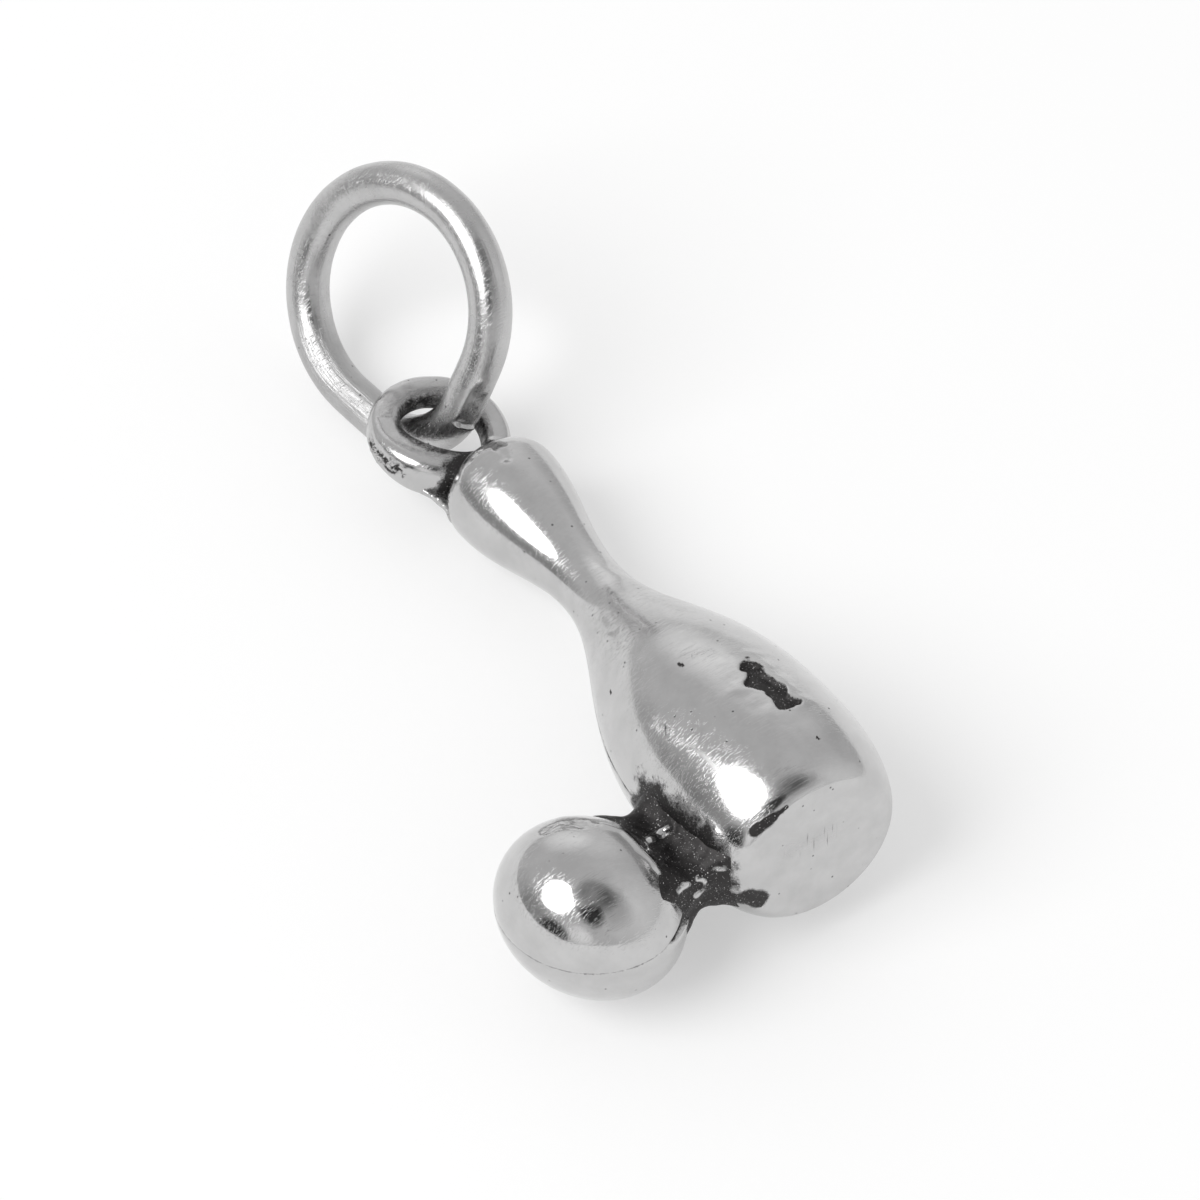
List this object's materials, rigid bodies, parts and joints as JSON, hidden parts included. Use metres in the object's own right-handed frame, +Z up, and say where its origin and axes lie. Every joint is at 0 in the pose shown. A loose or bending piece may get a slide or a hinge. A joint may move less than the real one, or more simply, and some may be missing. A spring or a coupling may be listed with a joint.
{
  "type": "charm pendant",
  "caption": "Solid silver charm in the shape of a bowling pin with a ball at its foot, a fixed eye on the head and a jump ring that swings in the eye.",
  "frame": {"origin": "on the table, under the middle of the lying charm's bounding box", "axes": "+Y from the pin's foot towards the ring's far end, +X away from the ball, +Z up and out of the charm's front"},
  "size_m": [0.0096, 0.0224, 0.0059],
  "materials": {
    "polished_silver": "sterling silver, polished, with fine scratches, small pits and grey patina in the hollows",
    "silver_wire": "sterling silver wire, satin from wear, with draw lines along it",
    "solder": "silver solder, uneven and slightly duller than the wire",
    "blackened_silver": "oxidised silver, black and grainy with small bright specks"
  },
  "bodies": {
    "charm": {"pin_front": "polished_silver", "pin_back": "polished_silver", "ball_front": "polished_silver", "ball_back": "polished_silver", "web": "blackened_silver", "eye": "silver_wire", "eye_solder": "solder"},
    "ring": {"jump_ring": "silver_wire", "jump_ring_solder": "solder"}
  },
  "joints": [
    {"name": "ring_swing", "type": "hinge", "parent": "charm", "child": "ring", "pos_m": [0.00219, 0.00682, 0.00211], "axis": [0.8392, 0.1509, -0.5225], "range_deg": [-100, 35]}
  ]
}
